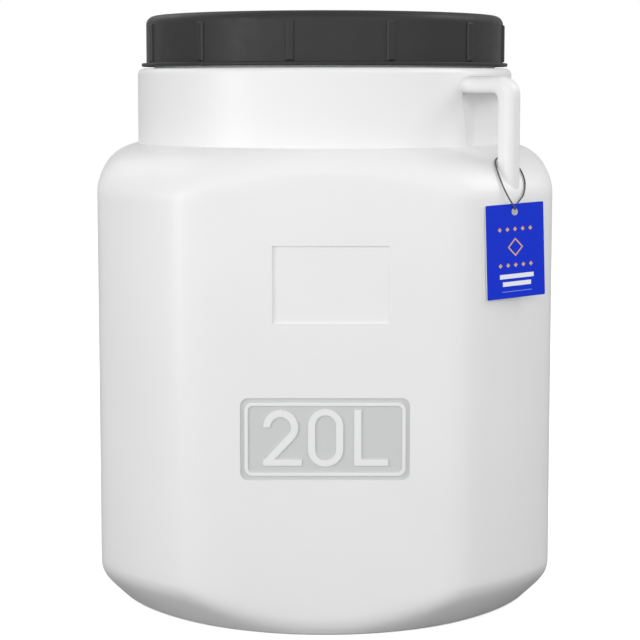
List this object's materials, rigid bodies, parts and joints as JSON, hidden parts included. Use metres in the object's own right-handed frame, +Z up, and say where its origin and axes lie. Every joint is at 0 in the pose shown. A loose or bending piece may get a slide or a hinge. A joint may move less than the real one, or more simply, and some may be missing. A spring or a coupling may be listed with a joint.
{
  "type": "wide-mouth plastic drum",
  "caption": "Rounded-square white plastic drum with a wide round neck, ribbed black screw lid, loop handles over its corners and a card tag on a string.",
  "frame": {"origin": "middle of the base, on the surface that the drum stands on", "axes": "+Z up, the front face with the capacity panel towards -Y, +X to the right of that face"},
  "size_m": [0.2744, 0.2744, 0.3621],
  "materials": {
    "drum_plastic": "satin blow-moulded polyethylene",
    "lid_plastic": "satin injection-moulded, dark grey",
    "tag_card": "printed card, semi-gloss",
    "string": "thin twisted cord"
  },
  "bodies": {
    "root": {"drum": "drum_plastic", "lid": "lid_plastic", "hang_tag": "tag_card", "tag_string": "string", "string_knot": "string"}
  },
  "joints": []
}
